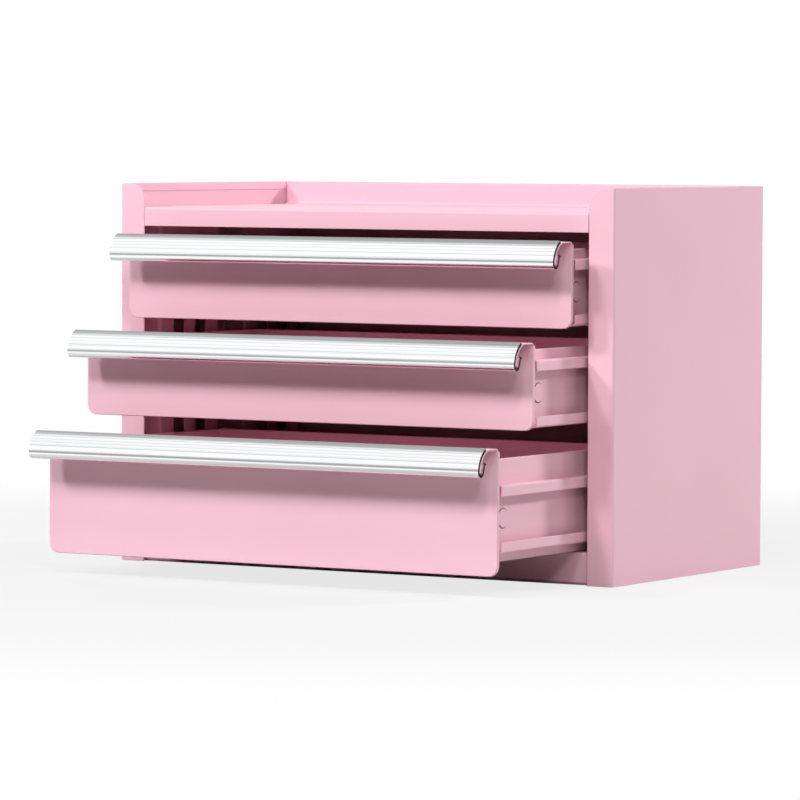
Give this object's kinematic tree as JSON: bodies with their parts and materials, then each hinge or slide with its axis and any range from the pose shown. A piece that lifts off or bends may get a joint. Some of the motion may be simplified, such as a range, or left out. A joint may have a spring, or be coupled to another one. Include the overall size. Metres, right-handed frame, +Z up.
{
  "type": "tool chest",
  "caption": "Benchtop steel tool chest with an open tray on top and sliding drawers of two depths, each pulled by a full-width fluted aluminium handle strip.",
  "frame": {"origin": "middle of the cabinet's underside, halfway across its width and its depth", "axes": "+Z up, drawers open towards -Y, +X to the right seen from the front"},
  "size_m": [0.457, 0.4136, 0.307],
  "materials": {
    "pink_powder_coat": "semi-gloss powder coat on sheet steel",
    "satin_aluminium": "bright drawn extrusion with fine lengthwise flutes"
  },
  "bodies": {
    "cabinet": {"side_panel_left": "pink_powder_coat", "side_panel_right": "pink_powder_coat", "rear_panel": "pink_powder_coat", "top_tray": "pink_powder_coat", "bottom_panel": "pink_powder_coat", "bottom_rail": "pink_powder_coat", "front_upright_left": "pink_powder_coat", "front_upright_right": "pink_powder_coat", "rear_upright_left": "pink_powder_coat", "rear_upright_right": "pink_powder_coat", "drawer_1_rail_left": "pink_powder_coat", "drawer_1_rail_right": "pink_powder_coat", "drawer_2_rail_left": "pink_powder_coat", "drawer_2_rail_right": "pink_powder_coat", "drawer_3_rail_left": "pink_powder_coat", "drawer_3_rail_right": "pink_powder_coat"},
    "drawer_1": {"drawer_1_box": "pink_powder_coat", "drawer_1_front": "pink_powder_coat", "drawer_1_handle": "satin_aluminium", "drawer_1_slide_left": "pink_powder_coat", "drawer_1_slide_right": "pink_powder_coat"},
    "drawer_2": {"drawer_2_box": "pink_powder_coat", "drawer_2_front": "pink_powder_coat", "drawer_2_handle": "satin_aluminium", "drawer_2_slide_left": "pink_powder_coat", "drawer_2_slide_right": "pink_powder_coat"},
    "drawer_3": {"drawer_3_box": "pink_powder_coat", "drawer_3_front": "pink_powder_coat", "drawer_3_handle": "satin_aluminium", "drawer_3_slide_left": "pink_powder_coat", "drawer_3_slide_right": "pink_powder_coat"}
  },
  "joints": [
    {"name": "drawer_1_slide", "type": "slide", "parent": "cabinet", "child": "drawer_1", "axis": [0, -1, 0], "range_m": [-0.0238, 0.1412]},
    {"name": "drawer_2_slide", "type": "slide", "parent": "cabinet", "child": "drawer_2", "axis": [0, -1, 0], "range_m": [-0.0824, 0.0826]},
    {"name": "drawer_3_slide", "type": "slide", "parent": "cabinet", "child": "drawer_3", "axis": [0, -1, 0], "range_m": [-0.135, 0.03]}
  ]
}
